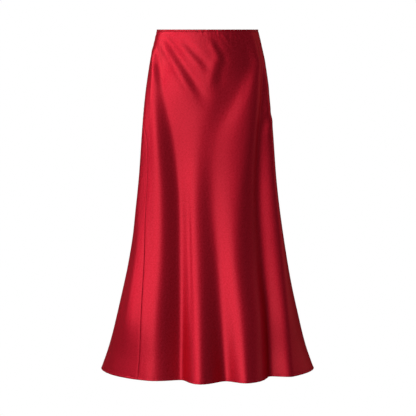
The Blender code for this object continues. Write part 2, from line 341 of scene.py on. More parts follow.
@dataclass
class SkirtForm:
    """The skirt's outer surface, worked out at any angle and drop."""

    halvings: int = 24
    fold_round: float = 0.015
    rounding_steps: int = 17
    half_blend: float = 4.0
    half_overlap: float = 0.4
    gather_count: int = 84
    gather_height: float = 0.00045
    gather_width: tuple[float, float] = (0.0016, 0.0036)
    gather_reach: tuple[float, float] = (0.006, 0.030)
    gather_slant: float = 0.35
    gather_shift: float = 0.38
    gather_end: float = 0.075
    gather_seed: int = 11
    seam_groove: float = 0.0004
    seam_groove_width: float = 0.0016
    seam_pucker: float = 0.00045
    seam_pucker_width: float = 0.008
    seam_pucker_waves: tuple[float, float, float] = (410.0, 63.0, 37.0)
    right_pucker_shift: int = 11
    allowance_width: float = 0.009
    allowance_edge: float = 0.003
    allowance_lift: float = 0.0002
    hem_height: float = 0.006
    hem_groove: float = 0.00035
    hem_groove_width: float = 0.0008
    hem_puff: float = 0.0003
    hem_puff_width: float = 0.0022
    hem_roping: float = 0.0005
    hem_roping_reach: float = 0.007
    hem_roping_waves: tuple[float, float, float] = (520.0, 71.0, 43.0)
    tuck: float = 0.0009
    tuck_drop: float = 0.0035
    gathers: np.ndarray = field(init=False)

    def __post_init__(self) -> None:
        """Places the waist's gathers, uneven in place, height, width and reach."""
        rng = np.random.default_rng(self.gather_seed)
        count = self.gather_count
        shifts = rng.uniform(-self.gather_shift, self.gather_shift, count)
        angles = (np.arange(count) + shifts) * 360 / count - 180
        heights = self.gather_height * rng.uniform(0.25, 1.0, count) * rng.choice((1, -1), count)
        widths = rng.uniform(*self.gather_width, count)
        reaches = rng.uniform(*self.gather_reach, count)
        slants = rng.uniform(-self.gather_slant, self.gather_slant, count)
        self.gathers = np.stack([angles, heights, widths, reaches, slants], axis=1)

    def ovals(self, drops: np.ndarray) -> np.ndarray:
        """The ovals at some drops, as rows of half width, front, back and squareness."""
        table = [(s.half_width, s.front, s.back, s.squareness) for s in SECTIONS]
        return smooth_values(tuple(s.drop for s in SECTIONS), np.array(table), drops)

    @staticmethod
    def oval_radius(angle: np.ndarray, ovals: np.ndarray) -> np.ndarray:
        """The ovals' distances from the axis.

        Args:
            angle: a row of angles in degrees for each oval.
            ovals: each oval's half width, front, back and squareness.

        Returns:
            A distance in metres for each angle.
        """
        half_width, front, back, squareness = (ovals[:, column : column + 1] for column in range(4))
        turn = np.radians(angle)
        along = np.cos(turn)
        depth = np.where(along >= 0, front, back)
        total = np.abs(np.sin(turn) / half_width) ** squareness + np.abs(along / depth) ** squareness
        return total ** (-1.0 / squareness)

    def waist_radius(self, angle: np.ndarray) -> np.ndarray:
        """The waist oval's distances from the axis, at angles in degrees."""
        return self.oval_radius(angle[None], self.ovals(np.array([0.0])))[0]

    def angles_for(
        self, aside: np.ndarray, out: np.ndarray, ovals: np.ndarray, side: Side
    ) -> np.ndarray:
        """The angles at which folds on the ovals lie this far to the side.

        Args:
            aside: how far to the side, in metres, signed, a row to each oval.
            out: how far the folds stand out, in metres.
            ovals: the ovals.
            side: the half of the skirt that they are on.

        Returns:
            The angles in degrees.
        """
        low, high = np.zeros_like(aside), np.full_like(aside, SIDE_ANGLE)
        for _ in range(self.halvings):
            middle = (low + high) / 2
            seen = middle if side is Side.FRONT else 180 - middle
            radius = self.oval_radius(seen, ovals) + out
            short = radius * np.sin(np.radians(middle)) < np.abs(aside)
            low, high = np.where(short, middle, low), np.where(short, high, middle)
        angle = np.copysign((low + high) / 2, aside)
        return angle if side is Side.FRONT else 180 - angle

    def folds(self, drops: np.ndarray, ovals: np.ndarray) -> np.ndarray:
        """Each fold's angle, stand-out and valley, with one turn more on either side.

        Args:
            drops: the drops in metres.
            ovals: the ovals there.

        Returns:
            Three tables, of angles in degrees, stand-outs in metres and valleys, with a
            row to each drop, in order of angle.
        """
        angles, outs = [], []
        valleys = [fold.valley for fold in FRONT_FOLDS + BACK_FOLDS]
        valleys += [1.0, 1.0, *(fold.valley for fold in SIDE_FOLDS)]
        tables = ((FRONT_FOLDS, FRONT_DROPS, Side.FRONT), (BACK_FOLDS, BACK_DROPS, Side.BACK))
        for table, levels, side in tables:
            widest = self.ovals(np.array([levels[0]]))[0, 0]
            narrowing = np.minimum(ovals[:, :1] / widest, 1.0) * MILLIMETRE
            asides = np.array([fold.aside for fold in table]).T
            stands = np.array([(0, *fold.out) for fold in table]).T
            aside = smooth_values(levels, asides, np.maximum(drops, levels[0])) * narrowing
            out = smooth_values((0, *levels), stands, drops) * MILLIMETRE
            angles.append(self.angles_for(aside, out, ovals, side))
            outs.append(out)
        side_out = smooth_values((0, *FRONT_DROPS), np.array((0, *SIDE_OUT)), drops) * MILLIMETRE
        stands = np.array([(0, *fold.out) for fold in SIDE_FOLDS]).T
        outs += [side_out, side_out, smooth_values((0, *BACK_DROPS), stands, drops) * MILLIMETRE]
        fixed = [-SIDE_ANGLE, SIDE_ANGLE, *(fold.angle for fold in SIDE_FOLDS)]
        angles.append(np.tile(np.array(fixed, float), (len(drops), 1)))
        angle = np.concatenate(angles, axis=1)
        order = np.argsort(angle, axis=1)
        valley = np.tile(np.array(valleys), (len(drops), 1))
        tables = (angle, np.concatenate(outs, axis=1), valley)
        angle, out, valley = (np.take_along_axis(table, order, axis=1) for table in tables)
        turns = np.concatenate([angle - 360, angle, angle + 360], axis=1)
        return np.stack([turns, np.tile(out, 3), np.tile(valley, 3)])

    @staticmethod
    def fold_height(angle: np.ndarray, folds: np.ndarray) -> np.ndarray:
        """How far the folds stand out: a soft wave from hollow to ridge.

        Args:
            angle: the angles in degrees.
            folds: the folds' angles, stand-outs and valleys at one drop.

        Returns:
            Heights in metres.
        """
        places, outs, valleys = folds
        row = np.clip(np.searchsorted(places, angle, side="right") - 1, 0, len(places) - 2)
        share = (angle - places[row]) / np.maximum(places[row + 1] - places[row], 1e-6)
        rising = outs[row + 1] >= outs[row]
        share = np.where(rising, share, 1 - share)
        valley = np.where(rising, valleys[row], valleys[row + 1])
        lift = ((1 - np.cos(np.pi * share)) / 2 + VALLEY_ROUND) ** valley
        lowest, highest = VALLEY_ROUND**valley, (1 + VALLEY_ROUND) ** valley
        wave = (lift - lowest) / (highest - lowest)
        return np.minimum(outs[row], outs[row + 1]) + np.abs(outs[row + 1] - outs[row]) * wave

    def seam_angles(self, drops: np.ndarray) -> np.ndarray:
        """The left and right seams' angles at each drop."""
        table = np.array([(s.left, s.right) for s in SEAM_LINES])
        return smooth_values(tuple(s.drop for s in SEAM_LINES), table, drops)

    def crease_height(self, aside: np.ndarray, drop: np.ndarray, along: np.ndarray) -> np.ndarray:
        """How far the listed creases stand out.

        Args:
            aside: distances to the side, in metres.
            drop: drops, in metres.
            along: cosines of the angles, positive on the front half.

        Returns:
            Heights in metres.
        """
        total = np.zeros_like(aside)
        for side, creases in CREASES.items():
            on_side = soft_step(along * side.value * self.half_blend + self.half_overlap)
            for crease in creases:
                total += crease.height(aside, drop) * on_side
        return total

    def gather_heights(self, angle: np.ndarray, drop: np.ndarray, radius: np.ndarray) -> np.ndarray:
        """The waist's small gathers, which fade a little way down.

        Args:
            angle: the angles in degrees.
            drop: the drops in metres.
            radius: the distances from the axis.

        Returns:
            Heights in metres.
        """
        total = np.zeros_like(angle)
        near = drop < self.gather_end
        for place, height, width, reach, slant in self.gathers:
            away = (angle[near] - place + 180) % 360 - 180
            across = np.radians(away) * radius[near] - slant * drop[near]
            down = np.clip(drop[near], 0, None) / reach
            total[near] += height * np.exp(-((across / width) ** 2) - down**2)
        return total

    def seam_height(self, angle: np.ndarray, drop: np.ndarray, radius: np.ndarray) -> np.ndarray:
        """The side seams: a narrow groove, its puckers and the lift of the allowance.

        Args:
            angle: a row of angles in degrees for each drop.
            drop: the drops in metres, in the same shape.
            radius: the distances from the axis.

        Returns:
            Heights in metres.
        """
        total = np.zeros_like(angle)
        seams = self.seam_angles(drop[:, 0])
        fine, wide, slow = self.seam_pucker_waves
        pucker = np.sin(drop * fine + 2 * np.sin(drop * wide)) * (0.6 + 0.4 * np.sin(drop * slow + 1))
        for column, shift in ((0, 0), (1, self.right_pucker_shift)):
            away = (angle - seams[:, column : column + 1] + 180) % 360 - 180
            across = np.abs(np.radians(away)) * radius
            groove = np.exp(-((across / self.seam_groove_width) ** 2))
            near = np.exp(-((across / self.seam_pucker_width) ** 2))
            lift = 1 - soft_step((across - self.allowance_width) / self.allowance_edge)
            total += self.allowance_lift * lift - self.seam_groove * groove
            total += self.seam_pucker * near * np.roll(pucker, shift, axis=0)
        return total

    def hem_shape(self, angle: np.ndarray, drop: np.ndarray, radius: np.ndarray) -> np.ndarray:
        """The turned hem: its stitched groove, the puff below it and its slight roping.

        Args:
            angle: the angles in degrees.
            drop: the drops in metres.
            radius: the distances from the axis.

        Returns:
            Heights in metres.
        """
        above = HEM_DROP - drop
        from_stitches = (above - self.hem_height * 0.9) / self.hem_groove_width
        from_puff = (above - self.hem_height * 0.4) / self.hem_puff_width
        groove = -self.hem_groove * np.exp(-(from_stitches**2))
        puff = self.hem_puff * np.exp(-(from_puff**2))
        run = np.radians(angle) * radius
        fine, wide, slow = self.hem_roping_waves
        rope = np.sin(run * fine + 1.6 * np.sin(run * wide)) * (0.55 + 0.45 * np.sin(run * slow + 2))
        return groove + puff + self.hem_roping * rope * np.exp(-((above / self.hem_roping_reach) ** 2))

    def hung_radius(self, angle: np.ndarray, drops: np.ndarray) -> np.ndarray:
        """How far from the axis the oval with its hanging folds lies.

        The cloth's stiffness rounds the folds, more so towards the hem.

        Args:
            angle: a row of angles in degrees for each drop.
            drops: the drops in metres.

        Returns:
            A distance in metres for each angle.
        """
        ovals = self.ovals(drops)
        radius = self.oval_radius(angle, ovals)
        folds = self.folds(drops, ovals)
        reach = self.fold_round * (0.5 + drops / HEM_DROP)
        places = np.linspace(-1.0, 1.0, self.rounding_steps + 2)[1:-1]
        weights = np.cos(places * math.pi / 2) ** 2
        weights /= weights.sum()
        for row in range(len(drops)):
            step = np.degrees(reach[row] / radius[row])
            near = angle[row] + places[:, None] * step
            radius[row] += weights @ self.fold_height(near, folds[:, row])
        return radius

    def points(self, angle: np.ndarray, drops: np.ndarray) -> np.ndarray:
        """The outer surface.

        Args:
            angle: a row of angles in degrees for each drop.
            drops: the drops in metres.

        Returns:
            The points, as rows, columns and three coordinates.
        """
        radius = self.hung_radius(angle, drops)
        turn = np.radians(angle)
        drop = np.broadcast_to(drops[:, None], angle.shape)
        radius += self.crease_height(radius * np.sin(turn), drop, np.cos(turn))
        radius += self.gather_heights(angle, drop, radius)
        radius += self.seam_height(angle, drop, radius)
        radius += self.hem_shape(angle, drop, radius)
        radius -= self.tuck * soft_step(1 - drop / self.tuck_drop)
        return round_points(radius, turn, -drop)

    def normals(self, angle: np.ndarray, drops: np.ndarray) -> np.ndarray:
        """The outward normals of the outer surface, at the same places as points.

        Args:
            angle: a row of angles in degrees for each drop.
            drops: the drops in metres.

        Returns:
            A unit vector for each angle.
        """
        by_angle, by_drop = 0.2, 0.0006
        across = self.points(angle + by_angle, drops) - self.points(angle - by_angle, drops)
        down = self.points(angle, drops + by_drop) - self.points(angle, drops - by_drop)
        normal = np.cross(down, across)
        return normal / np.linalg.norm(normal, axis=-1, keepdims=True)


# ---------------------------------------------------------------------------
# Finishes
# ---------------------------------------------------------------------------


# A Mix node's sockets go by number, because its kinds of data share their names.
MIX_SHARE = 0
MIX_FIRST_NUMBER, MIX_SECOND_NUMBER, MIX_NUMBER = 2, 3, 0
MIX_FIRST_COLOUR, MIX_SECOND_COLOUR, MIX_COLOUR = 6, 7, 2


def set_sockets(node: bpy.types.Node, sockets: dict[str | int, object]) -> None:
    """Sets constants on a node's inputs, by their names or numbers."""
    for socket, value in sockets.items():
        node.inputs[socket].default_value = value


def add_node(
    tree: bpy.types.NodeTree,
    kind: str,
    sockets: dict[str | int, object] | None = None,
    **values: object,
) -> bpy.types.Node:
    """Adds a node.

    Args:
        tree: the node tree.
        kind: the node's Blender type.
        sockets: constants for its inputs, by their names or numbers.
        values: attributes to set on it.

    Returns:
        The node.
    """
    node = tree.nodes.new(kind)
    for name, value in values.items():
        setattr(node, name, value)
    set_sockets(node, sockets or {})
    return node


def wire(
    tree: bpy.types.NodeTree, *links: tuple[bpy.types.Node, str | int, bpy.types.Node, str | int]
) -> None:
    """Links nodes.

    Args:
        tree: the node tree.
        links: a node and its output, then the node and the input that they feed.
    """
    for source, output, target, entry in links:
        tree.links.new(source.outputs[output], target.inputs[entry])


def new_surface(name: str) -> tuple[bpy.types.Material, bpy.types.NodeTree, bpy.types.Node]:
    """Starts a material.

    Args:
        name: the material's name.

    Returns:
        The material, its node tree and its shader.
    """
    material = bpy.data.materials.new(name)
    material.use_nodes = True
    return material, material.node_tree, material.node_tree.nodes["Principled BSDF"]


def opaque(colour: tuple[float, ...]) -> tuple[float, ...]:
    """A colour with full alpha, as sockets take it."""
    return (*colour, 1.0)


def bias_weave_group() -> bpy.types.NodeTree:
    """The satin weave as a node group, its floats at 45 degrees as on a bias cut.

    Returns:
        A group that takes Vector, Grain Size, Float Length and Mottle Size, in metres, and
        gives Height, Shine and Tone, each from 0 to 1.
    """
    tree = bpy.data.node_groups.new("bias_weave", "ShaderNodeTree")
    face = tree.interface
    face.new_socket("Vector", in_out="INPUT", socket_type="NodeSocketVector")
    for name, value in (("Grain Size", 0.0012), ("Float Length", 0.008), ("Mottle Size", 0.0040)):
        face.new_socket(name, in_out="INPUT", socket_type="NodeSocketFloat").default_value = value
    for name in ("Height", "Shine", "Tone"):
        face.new_socket(name, in_out="OUTPUT", socket_type="NodeSocketFloat")
    given = add_node(tree, "NodeGroupInput")
    made = add_node(tree, "NodeGroupOutput")
    turned = add_node(tree, "ShaderNodeMapping", {"Rotation": (0.0, 0.0, math.radians(45))})
    apart = add_node(tree, "ShaderNodeSeparateXYZ")
    floats = add_node(tree, "ShaderNodeTexNoise", {"Scale": 1.0, "Detail": 1.5})
    mottle = add_node(tree, "ShaderNodeTexNoise", {"Scale": 1.0, "Detail": 3.0, "Roughness": 0.7})
    blend = add_node(tree, "ShaderNodeMix", {MIX_SHARE: 0.8}, data_type="FLOAT")
    wire(tree, (given, "Vector", turned, "Vector"), (turned, "Vector", apart, "Vector"))
    both_sizes = ((floats, "Grain Size", "Float Length"), (mottle, "Mottle Size", "Mottle Size"))
    for noise, across, along in both_sizes:
        joined = add_node(tree, "ShaderNodeCombineXYZ")
        for axis, size in (("X", across), ("Y", along)):
            divide = add_node(tree, "ShaderNodeMath", operation="DIVIDE")
            wire(tree, (apart, axis, divide, 0), (given, size, divide, 1), (divide, 0, joined, axis))
        wire(tree, (joined, 0, noise, "Vector"))
    wire(
        tree,
        (floats, "Fac", made, "Height"),
        (mottle, "Fac", made, "Shine"),
        (floats, "Fac", blend, MIX_FIRST_NUMBER),
        (mottle, "Fac", blend, MIX_SECOND_NUMBER),
        (blend, MIX_NUMBER, made, "Tone"),
    )
    return tree


# The values between which nearly all of a noise texture lies.
NOISE_SPAN = {"From Min": 0.3, "From Max": 0.7}


@dataclass(frozen=True)
class SatinFinish:
    """A face of satin cloth: its colour and gloss, with the weave that varies them."""

    name: str
    colour: tuple[float, float, float]
    deep_colour: tuple[float, float, float]
    metallic: float
    roughness: float
    roughness_spread: float
    bump: float
    sheen: float
    specular: float
    edge_tint: tuple[float, float, float]
    coat: float = 0.0
    coat_roughness: float = 0.3
    sheen_roughness: float = 0.35
    sheen_tint: tuple[float, float, float] = (1.0, 0.45, 0.5)
    bump_depth: float = 0.0004

    def build(self, weave: bpy.types.NodeTree) -> bpy.types.Material:
        """Makes the material.

        Args:
            weave: the shared weave group.

        Returns:
            The material.
        """
        material, tree, shader = new_surface(self.name)
        gloss = {
            "Metallic": self.metallic,
            "Specular IOR Level": self.specular,
            "Specular Tint": opaque(self.edge_tint),
            "Coat Weight": self.coat,
            "Coat Roughness": self.coat_roughness,
            "Sheen Weight": self.sheen,
            "Sheen Roughness": self.sheen_roughness,
            "Sheen Tint": opaque(self.sheen_tint),
        }
        set_sockets(shader, gloss)
        deep, bright = opaque(self.deep_colour), opaque(self.colour)
        colours = {MIX_FIRST_COLOUR: deep, MIX_SECOND_COLOUR: bright}
        least, most = self.roughness - self.roughness_spread, self.roughness + self.roughness_spread
        place = add_node(tree, "ShaderNodeUVMap", uv_map=CHART)
        cloth = add_node(tree, "ShaderNodeGroup", node_tree=weave)
        spread = add_node(tree, "ShaderNodeMapRange", NOISE_SPAN)
        rough = add_node(tree, "ShaderNodeMapRange", NOISE_SPAN | {"To Min": least, "To Max": most})
        colour = add_node(tree, "ShaderNodeMix", colours, data_type="RGBA")
        bump = add_node(
            tree, "ShaderNodeBump", {"Strength": self.bump, "Distance": self.bump_depth}
        )
        wire(
            tree,
            (place, "UV", cloth, "Vector"),
            (cloth, "Tone", spread, "Value"),
            (spread, "Result", colour, MIX_SHARE),
            (colour, MIX_COLOUR, shader, "Base Color"),
            (cloth, "Shine", rough, "Value"),
            (rough, "Result", shader, "Roughness"),
            (cloth, "Height", bump, "Height"),
            (bump, "Normal", shader, "Normal"),
        )
        return material


@dataclass(frozen=True)
class ThreadFinish:
    """Polyester sewing thread, dyed to match, with a fine twist."""

    name: str
    colour: tuple[float, float, float]
    roughness: float
    # The share of the thread's colour left in the twist's grooves, darkened there as painted shade.
    shade: float = 0.6
    twists: float = 900.0
    bump: float = 0.4
    bump_depth: float = 0.0001

    def build(self) -> bpy.types.Material:
        """Makes the material, with the twist as bands across Object coordinates: painted shade darkens
        the twist's grooves in the colour, and a bump follows the same bands.

        Returns:
            The material.
        """
        material, tree, shader = new_surface(self.name)
        set_sockets(shader, {"Roughness": self.roughness})
        # Painted shade: the colour in the twist's grooves is darkened to shade times the thread's
        # colour.
        painted_twist_shade = opaque(tuple(self.shade * part for part in self.colour))
        colours = {MIX_FIRST_COLOUR: painted_twist_shade, MIX_SECOND_COLOUR: opaque(self.colour)}
        place = add_node(tree, "ShaderNodeTexCoord")
        twist = add_node(
            tree, "ShaderNodeTexWave", {"Scale": self.twists, "Distortion": 0.6},
            wave_type="BANDS", bands_direction="DIAGONAL",
        )
        colour = add_node(tree, "ShaderNodeMix", colours, data_type="RGBA")
        bump = add_node(
            tree, "ShaderNodeBump", {"Strength": self.bump, "Distance": self.bump_depth}
        )
        wire(
            tree,
            (place, "Object", twist, "Vector"),
            (twist, "Fac", colour, MIX_SHARE),
            (colour, MIX_COLOUR, shader, "Base Color"),
            (twist, "Fac", bump, "Height"),
            (bump, "Normal", shader, "Normal"),
        )
        return material


# Satin face: the weave's mottle mixes deep_colour and colour at random, as the cloth's own grain. The
# paler pink of colour, at the mottle's bright end, is painted sparkle standing in for the weave's
# whitish glints.
SATIN_FACE = SatinFinish(
    name="red_satin_face",
    colour=(0.72, 0.0230, 0.056),
    deep_colour=(0.50, 0.0030, 0.013),
    metallic=0.85,
    roughness=0.53,
    roughness_spread=0.08,
    bump=0.35,
    sheen=0.0,
    specular=0.1,
    edge_tint=(1.0, 0.12, 0.18),
    coat=0.14,
    coat_roughness=0.30,
)
SATIN_REVERSE = SatinFinish(
    name="red_satin_reverse",
    colour=(0.42, 0.008, 0.024),
    deep_colour=(0.34, 0.005, 0.018),
    metallic=0.1,
    roughness=0.68,
    roughness_spread=0.05,
    bump=0.45,
    sheen=0.05,
    specular=0.25,
    edge_tint=(1.0, 0.3, 0.4),
)
SATIN_CASING = SatinFinish(
    name="red_satin_casing",
    colour=(0.56, 0.008, 0.026),
    deep_colour=(0.46, 0.005, 0.018),
    metallic=0.65,
    roughness=0.50,
    roughness_spread=0.05,
    bump=0.40,
    sheen=0.0,
    specular=0.2,
    edge_tint=(1.0, 0.25, 0.32),
    coat=0.2,
    coat_roughness=0.32,
)
RED_THREAD = ThreadFinish(name="red_thread", colour=(0.50, 0.012, 0.030), roughness=0.55)


# ---------------------------------------------------------------------------
# Pieces
# ---------------------------------------------------------------------------


def link_mesh(name: str, mesh: bpy.types.Mesh) -> bpy.types.Object:
    """Puts a mesh into the scene.

    Args:
        name: the object's name.
        mesh: its mesh, in its place.

    Returns:
        The object, at the origin.
    """
    piece = bpy.data.objects.new(name, mesh)
    bpy.context.scene.collection.objects.link(piece)
    return piece


def smooth_mesh(
    name: str, points: np.ndarray, faces: list[list[int]], *materials: bpy.types.Material
) -> bpy.types.Mesh:
    """Makes a smooth mesh.

    Args:
        name: its name.
        points: its points, in any number of rows.
        faces: the numbers of each face's points.
        materials: its materials in order.

    Returns:
        The mesh.
    """
    mesh = bpy.data.meshes.new(name)
    mesh.from_pydata(points.reshape(-1, 3).tolist(), [], faces)
    for material in materials:
        mesh.materials.append(material)
    mesh.shade_smooth()
    return mesh


def corner_points(mesh: bpy.types.Mesh) -> np.ndarray:
    """Which point is at each corner of a mesh's faces.

    Args:
        mesh: the mesh.

    Returns:
        The points' numbers.
    """
    corners = np.empty(len(mesh.loops), np.int32)
    mesh.loops.foreach_get("vertex_index", corners)
    return corners


def lay_chart(mesh: bpy.types.Mesh, places: np.ndarray) -> None:
    """Lays the cloth's UV map, in metres across and along it.

    Args:
        mesh: the cloth's mesh.
        places: two numbers for each corner of its faces.
    """
    layer = mesh.uv_layers.new(name=CHART)
    layer.uv.foreach_set("vector", places.astype(np.float32).ravel())
    mesh.update()


def arc_lengths(points: np.ndarray) -> np.ndarray:
    """Lengths along rows of points.

    Args:
        points: the points, as rows, columns and coordinates.

    Returns:
        Each point's length along its row, from the middle column.
    """
    steps = np.linalg.norm(np.diff(points, axis=1), axis=-1)
    run = np.concatenate([np.zeros((len(points), 1)), np.cumsum(steps, axis=1)], axis=1)
    return run - run[:, run.shape[1] // 2 : run.shape[1] // 2 + 1]


@dataclass
class Panel:
    """One panel of the skirt, from seam to seam, as a thin closed shell."""

    name: str
    node: str
    form: SkirtForm
    wraps_back: bool
    columns: int = 270
    fine_columns: int = 900
    cloth: float = 0.0005
    hem_cloth: float = 0.0015
    hem_edge: float = 0.0006
    turn_steps: int = 5
    first_drop: float = 0.0008
    waist_band: float = 0.018
    hem_band: float = 0.012
    band_rows: tuple[int, int, int] = (12, 132, 22)

    def rows(self) -> np.ndarray:
        """The drops of the outer rows, closer together at the waist and the hem.

        Returns:
            The drops in metres.
        """
        at_waist, between, at_hem = self.band_rows
        last_band = HEM_DROP - self.hem_band
        waist = np.linspace(self.first_drop, self.waist_band, at_waist, endpoint=False)
        middle = np.linspace(self.waist_band, last_band, between, endpoint=False)
        hem = np.linspace(last_band, HEM_DROP - self.hem_cloth / 2, at_hem)
        return np.concatenate([waist, middle, hem])

    def angles(self, drops: np.ndarray) -> np.ndarray:
        """The angles of every column at each drop, spaced evenly along the hanging cloth.

        Args:
            drops: the drops in metres.

        Returns:
            A row of angles in degrees for each drop, from one seam to the other.
        """
        seams = self.form.seam_angles(drops)
        first, last = (seams[:, 1], seams[:, 0] + 360) if self.wraps_back else seams.T
        fine = first[:, None] + (last - first)[:, None] * np.linspace(0.0, 1.0, self.fine_columns)
        radius, turn = self.form.hung_radius(fine, drops), np.radians(fine)
        along = np.hypot(
            np.diff(radius * np.sin(turn), axis=1), np.diff(radius * np.cos(turn), axis=1)
        )
        run = np.concatenate([np.zeros((len(drops), 1)), np.cumsum(along, axis=1)], axis=1)
        even = np.linspace(0.0, 1.0, self.columns)
        return np.stack([np.interp(even * r[-1], r, row) for r, row in zip(run, fine)])

    def thickness(self, drops: np.ndarray) -> np.ndarray:
        """The cloth's thickness: one layer, and three in the turned hem.

        Args:
            drops: the drops in metres.

        Returns:
            A thickness in metres for each drop.
        """
        first = HEM_DROP - self.form.hem_height - self.hem_edge
        into_hem = soft_step((drops - first) / self.hem_edge)
        return self.cloth + (self.hem_cloth - self.cloth) * into_hem

    def shell(self) -> tuple[np.ndarray, np.ndarray]:
        """The panel's loops of points, down the outside, round the hem and up the inside.

        Returns:
            The points as loops and columns, and the length along them for the chart.
        """
        drops = self.rows()
        angles = self.angles(drops)
        outer = self.form.points(angles, drops)
        normals = self.form.normals(angles, drops)
        inner = outer - normals * self.thickness(drops)[:, None, None]
        radius = self.hem_cloth / 2
        turn = np.linspace(0, math.pi, self.turn_steps + 2)[1:-1]
        down = np.array((0.0, 0.0, -1.0))
        bends = [
            outer[-1] - normals[-1] * radius * (1 - math.cos(t)) + down * radius * math.sin(t)
            for t in turn
        ]
        loops = np.concatenate([outer, np.array(bends), inner[::-1]])
        length = np.concatenate(
            [drops, HEM_DROP + radius * turn, 2 * HEM_DROP - drops[::-1] + radius * math.pi]
        )
        return loops, length

    def build(self, face: bpy.types.Material, reverse: bpy.types.Material) -> bpy.types.Object:
        """Builds the panel.

        Args:
            face: the outer side's material.
            reverse: the inner side's material.

        Returns:
            The panel's object.
        """
        loops, length = self.shell()
        count, columns = loops.shape[:2]
        index = np.arange(count * columns).reshape(count, columns)
        wrapped = np.concatenate([index, index[:1]])
        top, below = wrapped[:-1], wrapped[1:]
        quads = np.stack([top[:, :-1], below[:, :-1], below[:, 1:], top[:, 1:]], axis=-1)
        outer_rows = (count - self.turn_steps) // 2
        faces = quads.reshape(-1, 4).tolist()
        for column, turned in ((0, False), (columns - 1, True)):
            edge = index[:, column]
            for row in range(outer_rows - 1):
                rim = [edge[row], edge[count - 1 - row], edge[count - 2 - row], edge[row + 1]]
                faces.append([int(v) for v in (rim[::-1] if turned else rim)])
            cap = [int(v) for v in edge[outer_rows - 1 : count - outer_rows + 1]]
            faces.append(cap if turned else cap[::-1])
        mesh = smooth_mesh(self.name, loops, faces, face, reverse)
        inside = np.zeros(len(faces), np.int32)
        first_inner = (outer_rows + self.turn_steps) * (columns - 1)
        inside[first_inner : (count - 1) * (columns - 1)] = 1
        mesh.polygons.foreach_set("material_index", inside)
        across = arc_lengths(loops)
        along = np.broadcast_to(length[:, None], across.shape)
        cloth = np.stack([across, along], axis=-1).reshape(-1, 2)
        lay_chart(mesh, cloth[corner_points(mesh)])
        return link_mesh(self.name, mesh)


@dataclass
class WaistCasing:
    """The narrow turned casing round the waist, gathered a little by thin elastic."""

    name: str
    form: SkirtForm
    height: float = 0.006
    thickness: float = 0.0021
    proud: float = 0.0005
    sink: float = 0.00012
    sink_waves: tuple[float, float] = (61.0, 7.0)
    columns: int = 720
    profile_steps: int = 18
    squareness: float = 2.6

    def build(self, material: bpy.types.Material) -> bpy.types.Object:
        """Builds the casing as one closed ring.

        Args:
            material: its finish.

        Returns:
            The casing's object.
        """
        angle = np.linspace(-180, 180, self.columns, endpoint=False)
        radius = self.form.waist_radius(angle)
        ripple = self.form.gather_heights(angle, np.zeros_like(angle), radius)
        turn = np.linspace(0, 2 * math.pi, self.profile_steps, endpoint=False)
        power = 2 / self.squareness
        out = np.sign(np.cos(turn)) * np.abs(np.cos(turn)) ** power * self.thickness / 2
        up = np.sign(np.sin(turn)) * np.abs(np.sin(turn)) ** power * self.height / 2
        middle = radius + self.proud - self.thickness / 2
        face = 0.75 + 0.25 * np.cos(turn)
        reach = middle + out[:, None] + ripple * face[:, None]
        radians = np.radians(angle)
        fine, wide = self.sink_waves
        sink = self.sink * np.sin(radians * fine + 2 * np.sin(radians * wide))
        level = up[:, None] + sink * np.sign(up)[:, None] * np.abs(np.sin(turn))[:, None]
        points = round_points(reach, radians, level)
        index = np.arange(points[..., 0].size).reshape(points.shape[:2])
        after = np.roll(index, -1, axis=0)
        quads = np.stack(
            [index, np.roll(index, -1, axis=1), np.roll(after, -1, axis=1), after], axis=-1
        )
        mesh = smooth_mesh(self.name, points, quads.reshape(-1, 4).tolist(), material)
        girth = arc_lengths(points)[0]
        share = np.arange(self.columns + 1) / self.columns
        round_way = np.linspace(0, 2 * (self.height + self.thickness), self.profile_steps + 1)
        column = np.arange(self.columns)
        step = np.arange(self.profile_steps)
        corner_columns = np.stack([column, column + 1, column + 1, column], axis=-1)
        corner_steps = np.stack([step, step, step + 1, step + 1], axis=-1)
        u = np.broadcast_to(share[corner_columns][None], (len(step), len(column), 4))
        v = np.broadcast_to(round_way[corner_steps][:, None], (len(step), len(column), 4))
        lay_chart(mesh, np.stack([u * (girth[-1] - girth[0]), v], axis=-1))
        return link_mesh(self.name, mesh)


